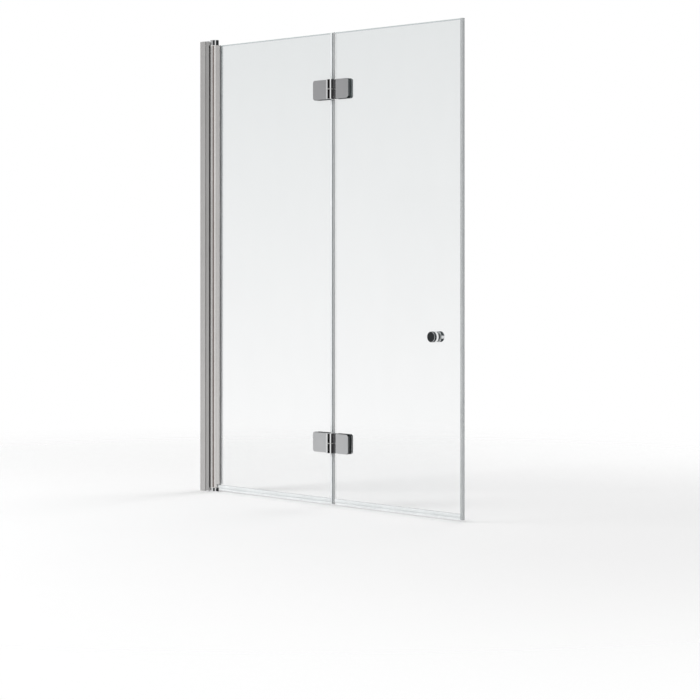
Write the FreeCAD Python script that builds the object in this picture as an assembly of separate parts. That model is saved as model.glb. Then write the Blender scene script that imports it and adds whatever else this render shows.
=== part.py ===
import FreeCAD, Part
import math
import os

# Two-leaf folding shower screen, drawn closed. All sizes are in millimetres.
# The origin is at the foot of the wall profile's back face, in the middle of its depth.
# +X runs along the closed screen away from the wall, +Y points to the wet side, +Z is up.
# The dry side is -Y, so "out" below means a distance towards -Y from the glass middle.

# Whole screen
screen_height = 1400.0        # foot of the post to the top of the head cap
screen_width = 1120.0         # wall face to free edge
pivot_from_wall = 50.0        # axis of the wall pivot
fold_from_wall = 593.5        # axis of the two folding hinges

# Wall profile, an extruded channel screwed to the wall
channel_length = 24.5         # along the screen
channel_depth = 38.0          # through the screen
channel_web = 2.0
channel_wall = 1.8
channel_lip_round = 0.7
wall_hole_diameter = 5.5
wall_hole_end = 100.0         # outer holes, from the foot and the head of the screen
wall_hole_inner_spacing = 400.0

# Post profile, which slides in the wall profile to take up an uneven wall
slide_gap = 0.3
post_start = 10.0             # from the wall face
post_wall = 1.8
post_round = 0.8
nose_reach = 4.5              # how far the nose passes the near side of the tube
cradle_gap = 1.0              # air between the tube and the hollow in the nose
port_radius = 3.4             # screw ports in the post's corners
port_sink = 1.0               # how far a port sinks into the two walls beside it
side_screw_radius = 1.9
side_screw_length = 9.0
side_screw_head_radius = 3.6
side_screw_head_height = 2.2
side_screw_end = 150.0        # outer side screws, from the foot and the head of the screen
side_screw_from_wall = 18.0

# Rubber lips between the post and the tube
lip_seal_root = 1.3           # how far inside the nose's corner the lip starts
lip_seal_thickness = 2.8
lip_seal_reach = 1.6
lip_seal_gap = 0.35           # air left to the tube

# Bearing caps, pins and bushes of the wall pivot
head_cap_height = 17.0
foot_cap_height = 12.0
arm_radius = 11.0             # round end of a cap's arm, about the pivot axis
cap_lid = 3.0                 # thin lid of a cap, over the end of the post
cap_rise = 3.5                # head cap's arm above its lid and above the profile's top
cap_round = 2.0
pin_radius = 4.0
pin_in_cap = 9.0
pin_in_bush = 18.0
pin_chamfer = 0.4
running_clearance = 0.05
press_gap = 0.02
thrust_gap = 0.3
bush_length = 22.0
bush_flange = 1.5
bush_flange_inset = 0.5       # flange rim inside the tube's outer face
cap_screw_radius = 1.5
cap_screw_length = 32.0
cap_screw_head_radius = 3.0
cap_screw_head_height = 1.8

# Pivot tube, an extrusion with a glazing slot between two jaws
tube_radius = 15.0
tube_wall = 2.6
slot_floor = 17.5             # from the pivot axis
slot_mouth = 29.0             # from the pivot axis
jaw_wall = 2.4
jaw_round = 0.6
jaw_fillet = 2.0
jaw_notch = 9.0               # jaws cut away above the glass foot for the bottom strip
gasket_thickness = 2.6
gasket_bead = 1.2             # bead over the mouth of the slot
gasket_bead_height = 0.8

# Glass leaves
glass_thickness = 6.0
glass_foot = 15.0             # glass edge above the foot of the post
glass_gap = 8.0               # between the two leaves
glass_arris = 0.8
glass_edge_play = 1.0         # glass edge above the floor of the slot
notch_play = 1.6              # between a knuckle and the notch in the glass
notch_corner = 4.0
fixing_hole_radius = 6.0      # holes for the clamp screws and the knob

# Folding hinges, a clamped plate on each leaf and a knuckle in two halves
upper_hinge_drop = 184.5      # middle of the upper hinge, below the top of the head cap
lower_hinge_height = 184.5    # middle of the lower hinge
hinge_height = 58.0
fold_out = 13.0               # fold axis, out from the glass middle
plate_root = 6.0              # from the fold axis, inside the leaf's own knuckle
inner_plate_far = 78.5        # from the fold axis
outer_plate_far = 73.0        # from the fold axis
plate_corner = 8.0
plate_round = 0.8
clamp_pad = 1.0               # soft pad between metal and glass
body_thickness = 7.0
back_plate_thickness = 6.0
back_plate_near = 16.0        # from the fold axis
knuckle_radius = 12.5
knuckle_chamfer = 0.5
knuckle_clearance = 0.4       # round the other leaf's knuckle
thrust_washer = 0.8           # flange of the knuckle bush
thrust_play = 0.1
hinge_pin_radius = 4.0
hinge_pin_inset = 0.4         # pin ends inside the knuckle ends
knuckle_bush_wall = 1.5
knuckle_bush_rim = 0.6        # flange rim inside the knuckle's face
clamp_screw_spacing = 28.0
clamp_screw_from_fold = 46.0
clamp_screw_radius = 3.0
clamp_screw_play = 0.3
clamp_head_radius = 5.6
clamp_head_height = 2.8
clamp_screw_grip = 5.2        # thread in the hinge body
sleeve_wall = 2.4
pad_inset = 0.8

# Clear strips on the glass edges
strip_wall = 1.05
strip_base = 1.2
fold_strip_leg = 5.0          # legs of the strips along the fold
free_strip_leg = 8.0          # legs of the strip on the free edge
strip_play = 0.05
strip_foot = 6.0              # foot of the upright strips above the foot of the post
strip_tip_gap = 0.4           # between the fin of one leaf and the strip of the other
strip_fin = 1.0
hinge_gap = 0.4               # above and below a hinge, to the strips and the glass
strip_end_gap = 0.3
bottom_leg = 7.0
bottom_start = 1.5            # bottom strip, from the glass edge in the tube
rim_fin_tip = 5.5             # tip of the bottom fin above the foot of the post
rim_fin_lean = 1.2
drip_reach = 4.0              # drip fin, outwards from the strip's leg
drip_drop = 3.4

# Knob, an outer grip with a flared base and a flat inner grip on one stud
knob_from_edge = 105.0        # from the free edge
knob_height = 505.5
knob_washer = 1.0
knob_washer_inset = 1.5
grip_radius = 15.0
grip_round = 0.8
grip_head = 9.0
grip_groove = 2.0
grip_waist_radius = 11.0
grip_base = 7.0               # from the washer to the groove
grip_base_rim = 2.2           # straight rim of the base, before it tapers to the groove
inner_grip_thickness = 13.0
stud_radius = 3.0
stud_in_outer = 12.0
stud_in_inner = 8.0
grub_radius = 1.5
grub_length = 7.0

# Places worked out from the sizes above
overshoot = 1.0               # how far a cutting tool runs past the face it cuts
tiny = 0.01                   # tolerance for picking edges by their place
glass_half = glass_thickness / 2
post_half_depth = channel_depth / 2 - channel_wall - slide_gap
nose_end = pivot_from_wall - tube_radius + nose_reach
cradle_radius = tube_radius + cradle_gap
post_web_face = pivot_from_wall - cradle_radius - post_wall
post_flange_face = post_half_depth - post_wall
port_x = post_web_face - port_radius + port_sink
port_y = post_flange_face - port_radius + port_sink
head_cap_foot = screen_height - head_cap_height
profile_top = screen_height - cap_rise
post_top = profile_top - cap_lid
tube_foot = foot_cap_height + thrust_gap + bush_flange
tube_top = head_cap_foot - thrust_gap - bush_flange
tube_bore = tube_radius - tube_wall
slot_half = glass_half + gasket_thickness
jaw_half = slot_half + jaw_wall
jaw_foot = glass_foot + jaw_notch
glass_top = tube_top
pad_face = glass_half + clamp_pad
plate_face = pad_face + body_thickness
back_face = pad_face + back_plate_thickness
notch_from_fold = knuckle_radius + notch_play
plate_far = {-1: inner_plate_far, 1: outer_plate_far}
hinge_window = hinge_height / 2 + hinge_gap
hinge_heights = {"upper": screen_height - upper_hinge_drop, "lower": lower_hinge_height}
knuckle_bush_radius = hinge_pin_radius + running_clearance + knuckle_bush_wall
strip_inner = glass_half + strip_play
strip_outer = strip_inner + strip_wall
free_glass_edge = screen_width - strip_base
inner_glass_start = pivot_from_wall + slot_floor + glass_edge_play
inner_glass_end = fold_from_wall - glass_gap / 2
outer_glass_start = fold_from_wall + glass_gap / 2
washer_face = glass_half + knob_washer
knob_from_wall = screen_width - knob_from_edge
side_screw_heights = (side_screw_end, screen_height / 2, screen_height - side_screw_end)

vector = FreeCAD.Vector
up = vector(0, 0, 1)
down = vector(0, 0, -1)
out = vector(0, -1, 0)


def block(x0, x1, y0, y1, z0, z1):
    """Box between pairs of limits, given in either order."""
    low = vector(min(x0, x1), min(y0, y1), min(z0, z1))
    return Part.makeBox(abs(x1 - x0), abs(y1 - y0), abs(z1 - z0), low)


def rod(radius, start, end):
    """Round bar between the centres of its two ends."""
    return Part.makeCylinder(radius, (end - start).Length, start, end - start)


def cone(start_radius, end_radius, start, end):
    """Tapered round bar between the centres of its two ends."""
    return Part.makeCone(start_radius, end_radius, (end - start).Length, start, end - start)


def prism(corners, sweep):
    """Closed polygon carried along a vector."""
    return Part.Face(Part.makePolygon(corners + corners[:1])).extrude(sweep)


def turned(profile, centre, axis):
    """Half profile of (radius, distance along the axis) pairs, turned about the axis."""
    side = vector(1, 0, 0)
    corners = [centre + side * radius + axis * along for radius, along in profile]
    return Part.Face(Part.makePolygon(corners + corners[:1])).revolve(centre, axis, 360)


def edges_where(shape, test):
    """Edges whose bounding box passes a test."""
    return [edge for edge in shape.Edges if test(edge.BoundBox)]


def uprights_at(shape, x):
    """Upright edges of a shape that lie at one X."""
    return edges_where(shape, lambda b: abs(b.XMin - x) < tiny and b.XLength < tiny and b.YLength < tiny)


def one(shapes):
    """Fuse shapes into one solid without seams."""
    return shapes[0].fuse(shapes[1:]).removeSplitter()


# Wall profile and post

def wall_hole_heights():
    """Wall screw heights: one pair near the ends and one pair about the middle."""
    middle = screen_height / 2
    inner = wall_hole_inner_spacing / 2
    return wall_hole_end, middle - inner, middle + inner, screen_height - wall_hole_end


def side_screw_holes():
    """Bores for the side screws, through the profile's wall on the wet side and the post."""
    start = vector(side_screw_from_wall, post_flange_face - overshoot, 0)
    end = vector(side_screw_from_wall, channel_depth / 2 + overshoot, 0)
    radius = side_screw_radius + press_gap
    return [rod(radius, start + up * z, end + up * z) for z in side_screw_heights]


def wall_profile():
    """Channel open towards the tube, with screw holes in its web and its wall on the wet side."""
    half = channel_depth / 2
    inner = half - channel_wall
    outer = block(0, channel_length, -half, half, 0, profile_top)
    lip_round = min(channel_lip_round, channel_wall * 0.4)
    outer = outer.makeFillet(lip_round, uprights_at(outer, channel_length))
    hollow = block(channel_web, channel_length + overshoot, -inner, inner, 0, profile_top)
    holes = [
        rod(wall_hole_diameter / 2, vector(-overshoot, 0, z), vector(channel_web + overshoot, 0, z))
        for z in wall_hole_heights()
    ]
    return outer.cut([hollow] + holes + side_screw_holes())


def post_profile():
    """Sliding post: two flanges, and a nose hollowed round the tube with two screw ports."""
    z0, z1 = cap_lid, post_top
    length = up * (z1 - z0)
    pivot = vector(pivot_from_wall, 0, z0)
    outline = block(post_start, nose_end, -post_half_depth, post_half_depth, z0, z1)
    outline = outline.makeFillet(post_round, uprights_at(outline, nose_end))
    hollow = block(post_start - overshoot, post_web_face, -post_flange_face, post_flange_face, z0, z1)
    cradle = rod(cradle_radius, pivot, pivot + length)
    ports = [vector(port_x, sign * port_y, z0) for sign in (-1, 1)]
    tubes = [rod(port_radius, port, port + length) for port in ports]
    shell = one([outline.cut([hollow, cradle])] + tubes)
    bores = [rod(cap_screw_radius + press_gap, port, port + length) for port in ports]
    return shell.cut(bores + side_screw_holes())


def lip_seal(sign):
    """Rubber lip from the nose's end face towards the tube, on one side of the post."""
    y_out = post_half_depth - lip_seal_root
    y_in = y_out - lip_seal_thickness
    tip = nose_end + lip_seal_reach
    section = [(nose_end, y_in), (tip, y_in), (tip, (y_in + y_out) / 2), (nose_end, y_out)]
    corners = [vector(x, sign * y, foot_cap_height) for x, y in section]
    lip = prism(corners, up * (head_cap_foot - foot_cap_height))
    axis_foot = vector(pivot_from_wall, 0, 0)
    return lip.cut(rod(tube_radius + lip_seal_gap, axis_foot, axis_foot + up * screen_height))


def side_screws():
    """Pan-head screws that lock the post in the wall profile."""
    face = channel_depth / 2
    top = face + side_screw_head_height
    screws = []
    for z in side_screw_heights:
        root = vector(side_screw_from_wall, face, z)
        shank = rod(side_screw_radius, root, root + out * side_screw_length)
        head = rod(side_screw_head_radius, root, root - out * side_screw_head_height)
        rim = edges_where(head, lambda b: b.YMin > top - tiny)
        screws.append(one([shank, head.makeFillet(side_screw_head_height * 0.6, rim)]))
    return Part.makeCompound(screws)


# Wall pivot

def arm_outline(start, z):
    """Cap's arm from above: straight sides and a round end about the pivot axis."""
    near_dry, near_wet = vector(start, -arm_radius, z), vector(start, arm_radius, z)
    dry, wet = vector(pivot_from_wall, -arm_radius, z), vector(pivot_from_wall, arm_radius, z)
    tip = vector(pivot_from_wall + arm_radius, 0, z)
    edges = [
        Part.LineSegment(near_dry, dry), Part.Arc(dry, tip, wet),
        Part.LineSegment(wet, near_wet), Part.LineSegment(near_wet, near_dry),
    ]
    return Part.Face(Part.Wire([edge.toShape() for edge in edges]))


def bearing_cap(lid_face, arm_face, arm_height, inward):
    """Cap on one end of the post: a thin lid over the post and a round-ended arm over the tube.

    lid_face and arm_face are the outer sides of the two, inward points into the post.
    """
    lid_start = channel_web + slide_gap
    lid_inside = lid_face + inward.z * cap_lid
    lid = block(lid_start, nose_end, -post_half_depth, post_half_depth, lid_face, lid_inside)
    arm_start = nose_end + slide_gap
    bridge = block(nose_end, arm_start, -arm_radius, arm_radius, lid_face, lid_inside)
    seat = vector(pivot_from_wall, 0, arm_face) + inward * arm_height
    arm = arm_outline(arm_start, arm_face).extrude(inward * arm_height)
    rim = edges_where(arm, lambda b: abs(b.ZMin - arm_face) < tiny and b.ZLength < tiny and b.XLength > tiny)
    arm = arm.makeFillet(cap_round, rim)
    cuts = [rod(pin_radius + press_gap, seat, seat - inward * (pin_in_cap + press_gap))]
    for sign in (-1, 1):
        top = vector(port_x, sign * port_y, lid_face)
        sink = top + inward * cap_screw_head_height
        cuts.append(cone(cap_screw_head_radius + press_gap, cap_screw_radius + press_gap, top, sink))
        cuts.append(rod(cap_screw_radius + press_gap, top, top + inward * cap_lid))
    return one([lid, bridge, arm]).cut(cuts)


def cap_screws():
    """Countersunk screws through both caps' lids into the post's ports."""
    screws = []
    for face, inward in ((profile_top, down), (0.0, up)):
        for sign in (-1, 1):
            top = vector(port_x, sign * port_y, face)
            sink = top + inward * cap_screw_head_height
            head = cone(cap_screw_head_radius, cap_screw_radius, top, sink)
            shank = rod(cap_screw_radius, sink, top + inward * cap_screw_length)
            screws.append(one([head, shank]))
    return Part.makeCompound(screws)


def pivot_pin(cap_face, inward):
    """Pin pressed into a bearing cap and turning in the bush of the tube."""
    seat = vector(pivot_from_wall, 0, cap_face)
    pin = rod(pin_radius, seat - inward * pin_in_cap, seat + inward * pin_in_bush)
    return pin.makeChamfer(pin_chamfer, edges_where(pin, lambda b: b.ZLength < tiny))


def pivot_bush(tube_end, inward):
    """Flanged plug in one end of the tube, bored for the pivot pin."""
    seat = vector(pivot_from_wall, 0, tube_end)
    plug = rod(tube_bore - press_gap, seat, seat + inward * bush_length)
    flange = rod(tube_radius - bush_flange_inset, seat, seat - inward * bush_flange)
    bore = rod(pin_radius + running_clearance, seat - inward * bush_flange, seat + inward * bush_length)
    return one([plug, flange]).cut(bore)


def pivot_tube():
    """Round tube with two jaws that hold the glass, the jaws notched at the foot."""
    z0, z1 = tube_foot, tube_top
    length = up * (z1 - z0)
    pivot = vector(pivot_from_wall, 0, z0)
    floor = pivot_from_wall + slot_floor
    mouth = pivot_from_wall + slot_mouth
    jaws = block(pivot_from_wall, mouth, -jaw_half, jaw_half, z0, z1)
    body = one([rod(tube_radius, pivot, pivot + length), jaws])
    junction = pivot_from_wall + math.sqrt(tube_radius ** 2 - jaw_half ** 2)
    body = body.makeFillet(jaw_fillet, uprights_at(body, junction))
    body = body.makeFillet(min(jaw_round, jaw_wall * 0.4), uprights_at(body, mouth))
    bore = rod(tube_bore, pivot, pivot + length)
    slot = block(floor, mouth + overshoot, -slot_half, slot_half, z0, z1)
    notch = block(floor, mouth + overshoot, -tube_radius, tube_radius, z0, jaw_foot)
    return body.cut([bore, slot, notch])


def glazing_gasket(sign):
    """Strip between the glass and one jaw, with a bead over the jaw's end."""
    start = inner_glass_start
    mouth = pivot_from_wall + slot_mouth
    bead = slot_half + gasket_bead_height
    section = [
        (start, glass_half), (mouth + gasket_bead, glass_half), (mouth + gasket_bead, bead),
        (mouth, bead), (mouth, slot_half), (start, slot_half),
    ]
    return prism([vector(x, sign * y, jaw_foot) for x, y in section], up * (tube_top - jaw_foot))


# Glass leaves. side is -1 for the inner leaf and 1 for the outer leaf.

def glass_leaf(side, x0, x1, holes):
    """Toughened pane with ground arrises, round holes at (x, z) places and two hinge notches."""
    pane = block(x0, x1, -glass_half, glass_half, glass_foot, glass_top)
    pane = pane.makeChamfer(glass_arris, pane.Edges)
    cuts = [
        rod(fixing_hole_radius, vector(x, glass_thickness, z), vector(x, -glass_thickness, z))
        for x, z in holes
    ]
    bottom = fold_from_wall + side * notch_from_fold
    for z in hinge_heights.values():
        low, high = z - hinge_window, z + hinge_window
        notch = block(fold_from_wall, bottom, -glass_thickness, glass_thickness, low, high)
        at_bottom = edges_where(notch, lambda b: abs(b.XMin - bottom) < tiny and b.XLength < tiny)
        corners = [edge for edge in at_bottom if edge.BoundBox.ZLength < tiny]
        cuts.append(notch.makeFillet(notch_corner, corners))
    return pane.cut(cuts)


def clamp_places(side):
    """Places of the four clamp screws on one leaf, as (x, z)."""
    x = fold_from_wall + side * clamp_screw_from_fold
    half = clamp_screw_spacing / 2
    return [(x, z + sign * half) for z in hinge_heights.values() for sign in (-1, 1)]


def inner_glass():
    return glass_leaf(-1, inner_glass_start, inner_glass_end, clamp_places(-1))


def outer_glass():
    holes = clamp_places(1) + [(knob_from_wall, knob_height)]
    return glass_leaf(1, outer_glass_start, free_glass_edge, holes)


# Folding hinges. The inner leaf's knuckle is the lower half, so the outer leaf rests on it.

def plate(side, near, far, half_height, z, corner, out_back, out_front):
    """Upright plate beside the fold axis, with its two far corners rounded."""
    def at(along, rise):
        return vector(fold_from_wall + side * along, -out_back, z + rise)

    low, high = -half_height, half_height
    bulge = corner * (1 - math.sqrt(0.5))
    edges = [
        Part.LineSegment(at(near, high), at(near, low)),
        Part.LineSegment(at(near, low), at(far - corner, low)),
        Part.Arc(at(far - corner, low), at(far - bulge, low + bulge), at(far, low + corner)),
        Part.LineSegment(at(far, low + corner), at(far, high - corner)),
        Part.Arc(at(far, high - corner), at(far - bulge, high - bulge), at(far - corner, high)),
        Part.LineSegment(at(far - corner, high), at(near, high)),
    ]
    face = Part.Face(Part.Wire([edge.toShape() for edge in edges]))
    return face.extrude(out * (out_front - out_back))


def fold_axis(z):
    return vector(fold_from_wall, -fold_out, z)


def knuckle_limits(side, z):
    """Foot and top of one leaf's knuckle."""
    if side > 0:
        return z + thrust_washer / 2, z + hinge_height / 2
    return z - hinge_height / 2, z - thrust_washer / 2 - thrust_play


def hinge_body(side, z):
    """Clamp plate on the dry side with one knuckle, hollowed round the other leaf's knuckle."""
    half = hinge_height / 2
    low, high = knuckle_limits(side, z)
    base = plate(side, plate_root, plate_far[side], half, z, plate_corner, pad_face, plate_face)
    rim = edges_where(base, lambda b: b.YMax < -plate_face + tiny)
    base = base.makeFillet(plate_round, rim)
    relief_low, relief_high = (z - half, low) if side > 0 else (high, z + half)
    relief = rod(knuckle_radius + knuckle_clearance, fold_axis(relief_low), fold_axis(relief_high))
    knuckle = rod(knuckle_radius, fold_axis(low), fold_axis(high))
    knuckle = knuckle.makeChamfer(knuckle_chamfer, edges_where(knuckle, lambda b: b.ZLength < tiny))
    body = one([base.cut(relief), knuckle])
    bore_radius = knuckle_bush_radius if side > 0 else hinge_pin_radius
    cuts = [rod(bore_radius + press_gap, fold_axis(low), fold_axis(high))]
    x = fold_from_wall + side * clamp_screw_from_fold
    for sign in (-1, 1):
        mouth = vector(x, -pad_face, z + sign * clamp_screw_spacing / 2)
        cuts.append(rod(clamp_screw_radius + press_gap, mouth, mouth + out * clamp_screw_grip))
    return body.cut(cuts)


def hinge_back_plate(side, z):
    """Clamp plate on the wet side, countersunk for the clamp screws."""
    half = hinge_height / 2
    back = plate(side, back_plate_near, plate_far[side], half, z, plate_corner, -back_face, -pad_face)
    rim = edges_where(back, lambda b: b.YMin > back_face - tiny)
    back = back.makeFillet(plate_round, rim)
    x = fold_from_wall + side * clamp_screw_from_fold
    shank = clamp_screw_radius + clamp_screw_play
    cuts = []
    for sign in (-1, 1):
        face = vector(x, back_face, z + sign * clamp_screw_spacing / 2)
        cuts.append(cone(clamp_head_radius + press_gap, shank, face, face + out * clamp_head_height))
        cuts.append(rod(shank, face, face + out * back_plate_thickness))
    return back.cut(cuts)


def hinge_pads(side, z):
    """Two soft pads between the clamp and the glass."""
    half = hinge_height / 2 - pad_inset
    near, far = back_plate_near + pad_inset, plate_far[side] - pad_inset
    corner = plate_corner - pad_inset
    x = fold_from_wall + side * clamp_screw_from_fold
    holes = [
        rod(fixing_hole_radius, vector(x, pad_face, rise), vector(x, -pad_face, rise))
        for rise in (z - clamp_screw_spacing / 2, z + clamp_screw_spacing / 2)
    ]
    dry_pad = plate(side, near, far, half, z, corner, glass_half, pad_face)
    wet_pad = plate(side, near, far, half, z, corner, -pad_face, -glass_half)
    return Part.makeCompound([dry_pad.cut(holes), wet_pad.cut(holes)])


def clamp_screws(side):
    """Countersunk screws through back plates and glass into the hinge bodies of one leaf."""
    screws = []
    for x, z in clamp_places(side):
        face = vector(x, back_face, z)
        sink = face + out * clamp_head_height
        tip = vector(x, -pad_face - clamp_screw_grip + press_gap, z)
        head = cone(clamp_head_radius, clamp_screw_radius, face, sink)
        screws.append(one([head, rod(clamp_screw_radius, sink, tip)]))
    return Part.makeCompound(screws)


def clamp_sleeves(side):
    """Nylon sleeves that keep the clamp screws off the glass."""
    radius = fixing_hole_radius - press_gap
    sleeves = []
    for x, z in clamp_places(side):
        start, end = vector(x, -glass_half, z), vector(x, glass_half, z)
        sleeves.append(rod(radius, start, end).cut(rod(radius - sleeve_wall, start, end)))
    return Part.makeCompound(sleeves)


def hinge_pin(z):
    """Pin pressed into the lower knuckle and reaching through the upper one."""
    reach = hinge_height / 2 - hinge_pin_inset
    return rod(hinge_pin_radius, fold_axis(z - reach), fold_axis(z + reach))


def knuckle_bush(z):
    """Flanged sleeve in the upper knuckle; the flange carries the outer leaf."""
    low, high = knuckle_limits(1, z)
    foot = low - thrust_washer
    sleeve = rod(knuckle_bush_radius, fold_axis(low), fold_axis(high))
    flange = rod(knuckle_radius - knuckle_bush_rim, fold_axis(foot), fold_axis(low))
    bore = rod(hinge_pin_radius + running_clearance, fold_axis(foot), fold_axis(high))
    return one([sleeve, flange]).cut(bore)


# Clear strips

def upright_strip(edge, away, leg, fin_reach):
    """Clear U strip over an upright glass edge, with an optional fin across the gap.

    away is 1 or -1, the side of the edge on which the strip's base lies.
    """
    tip = edge - away * leg
    floor = edge + away * strip_base
    section = [
        (tip, strip_inner), (edge, strip_inner), (edge, -strip_inner), (tip, -strip_inner),
        (tip, -strip_outer), (floor, -strip_outer), (floor, strip_outer), (tip, strip_outer),
    ]
    strip = prism([vector(x, y, strip_foot) for x, y in section], up * (glass_top - strip_foot))
    if fin_reach > 0:
        half = strip_fin / 2
        fin = block(floor, floor + away * fin_reach, -half, half, strip_foot, glass_top)
        strip = one([strip, fin])
    return strip


def hinge_windows():
    """Stretches that the hinges take out of the strips along the fold."""
    x0, x1 = fold_from_wall - plate_far[-1], fold_from_wall + plate_far[1]
    return [
        block(x0, x1, -hinge_height, hinge_height, z - hinge_window, z + hinge_window)
        for z in hinge_heights.values()
    ]


def inner_fold_strip():
    fin = glass_gap - 2 * strip_base - strip_tip_gap
    return upright_strip(inner_glass_end, 1, fold_strip_leg, fin).cut(hinge_windows())


def outer_fold_strip():
    return upright_strip(outer_glass_start, -1, fold_strip_leg, 0).cut(hinge_windows())


def free_edge_strip():
    return upright_strip(free_glass_edge, 1, free_strip_leg, 0)


def bottom_strip(x0, x1):
    """Strip under a leaf: a clip on the glass, a leaning fin downwards and a sloping drip fin
    on the wet side."""
    base = glass_foot - strip_base
    top = glass_foot + bottom_leg
    half_fin = strip_fin / 2
    drip_tip = strip_outer + drip_reach
    section = [
        (-strip_outer, top), (-strip_inner, top), (-strip_inner, glass_foot), (strip_inner, glass_foot),
        (strip_inner, top), (strip_outer, top),
        (strip_outer, glass_foot + strip_wall), (drip_tip, glass_foot + strip_wall - drip_drop),
        (drip_tip - strip_wall / 2, glass_foot - drip_drop), (strip_outer, base),
        (half_fin, base), (half_fin - rim_fin_lean, rim_fin_tip),
        (-half_fin - rim_fin_lean, rim_fin_tip), (-half_fin, base),
        (-strip_outer, base),
    ]
    return prism([vector(x0, y, z) for y, z in section], vector(x1 - x0, 0, 0))


def inner_bottom_strip():
    start = inner_glass_start + bottom_start
    return bottom_strip(start, inner_glass_end - fold_strip_leg - strip_end_gap)


def outer_bottom_strip():
    start = outer_glass_start + fold_strip_leg + strip_end_gap
    return bottom_strip(start, free_glass_edge - free_strip_leg - strip_end_gap)


# Knob

def knob_point(distance_out):
    return vector(knob_from_wall, -distance_out, knob_height)


def grip_rims(grip):
    """Round edges at the full radius of a grip."""
    return edges_where(grip, lambda b: b.YLength < tiny and b.XLength > 2 * grip_radius - tiny)


def grub_place():
    """Point on the stud's underside that the grub screw presses on."""
    return knob_point(washer_face + grip_base / 2) + down * stud_radius


def outer_grip():
    """Turned grip with a flared base, a finger groove and a round head, drilled for the stud and
    for the grub screw below."""
    neck = grip_base + grip_groove
    length = neck + grip_head
    profile = [
        (0, 0), (grip_radius, 0), (grip_radius, grip_base_rim), (grip_waist_radius, grip_base),
        (grip_waist_radius, neck), (grip_radius, neck), (grip_radius, length), (0, length),
    ]
    grip = turned(profile, knob_point(washer_face), out)
    grip = grip.makeFillet(grip_round, grip_rims(grip))
    stud_end = washer_face + stud_in_outer + press_gap
    bore = rod(stud_radius + press_gap, knob_point(washer_face), knob_point(stud_end))
    grub_hole = rod(grub_radius + press_gap, grub_place(), grub_place() + down * grip_radius)
    return grip.cut([bore, grub_hole])


def inner_grip():
    """Flat turned grip on the wet side."""
    profile = [(0, 0), (grip_radius, 0), (grip_radius, inner_grip_thickness), (0, inner_grip_thickness)]
    grip = turned(profile, knob_point(-washer_face), out * -1)
    grip = grip.makeFillet(grip_round, grip_rims(grip))
    stud_end = washer_face + stud_in_inner + press_gap
    return grip.cut(rod(stud_radius + press_gap, knob_point(-washer_face), knob_point(-stud_end)))


def knob_stud():
    dry_end = washer_face + stud_in_outer
    wet_end = washer_face + stud_in_inner
    return rod(stud_radius, knob_point(dry_end), knob_point(-wet_end))


def knob_grub_screw():
    start = grub_place() + down * press_gap
    return rod(grub_radius, start, start + down * grub_length)


def knob_washers():
    """Clear washers under both grips and a sleeve in the glass hole, as three rings."""
    rim = grip_radius - knob_washer_inset
    sleeve = fixing_hole_radius - press_gap
    spans = [
        (rim, glass_half, washer_face),
        (rim, -washer_face, -glass_half),
        (sleeve, -glass_half, glass_half),
    ]
    rings = []
    for radius, start, end in spans:
        bore = rod(stud_radius + clamp_screw_play, knob_point(start), knob_point(end))
        rings.append(rod(radius, knob_point(start), knob_point(end)).cut(bore))
    return Part.makeCompound(rings)


def all_parts():
    """Every piece by its node name."""
    parts = {
        "wall_profile": wall_profile(),
        "post_profile": post_profile(),
        "outer_lip_seal": lip_seal(-1),
        "inner_lip_seal": lip_seal(1),
        "side_screws": side_screws(),
        "head_bearing_cap": bearing_cap(profile_top, screen_height, head_cap_height, down),
        "foot_bearing_cap": bearing_cap(0.0, 0.0, foot_cap_height, up),
        "bearing_cap_screws": cap_screws(),
        "head_pivot_pin": pivot_pin(head_cap_foot, down),
        "foot_pivot_pin": pivot_pin(foot_cap_height, up),
        "pivot_tube": pivot_tube(),
        "head_pivot_bush": pivot_bush(tube_top, down),
        "foot_pivot_bush": pivot_bush(tube_foot, up),
        "outer_glazing_gasket": glazing_gasket(-1),
        "inner_glazing_gasket": glazing_gasket(1),
        "inner_glass": inner_glass(),
        "inner_bottom_strip": inner_bottom_strip(),
        "inner_fold_strip": inner_fold_strip(),
        "inner_clamp_screws": clamp_screws(-1),
        "inner_clamp_sleeves": clamp_sleeves(-1),
        "outer_glass": outer_glass(),
        "outer_bottom_strip": outer_bottom_strip(),
        "outer_fold_strip": outer_fold_strip(),
        "free_edge_strip": free_edge_strip(),
        "outer_clamp_screws": clamp_screws(1),
        "outer_clamp_sleeves": clamp_sleeves(1),
        "knob_outer_grip": outer_grip(),
        "knob_inner_grip": inner_grip(),
        "knob_stud": knob_stud(),
        "knob_washers": knob_washers(),
        "knob_grub_screw": knob_grub_screw(),
    }
    for place, z in hinge_heights.items():
        for leaf, side in (("inner", -1), ("outer", 1)):
            parts[f"{place}_hinge_{leaf}_body"] = hinge_body(side, z)
            parts[f"{place}_hinge_{leaf}_back_plate"] = hinge_back_plate(side, z)
            parts[f"{place}_hinge_{leaf}_pads"] = hinge_pads(side, z)
        parts[f"{place}_hinge_pin"] = hinge_pin(z)
        parts[f"{place}_hinge_bush"] = knuckle_bush(z)
    return parts


os.makedirs("parts", exist_ok=True)
for node, shape in all_parts().items():
    shape.exportStep(f"parts/{node}.step")
    print(f"{node}: {len(shape.Solids)} solid(s), {shape.Volume / 1000:.2f} cm3, valid {shape.isValid()}")
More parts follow.
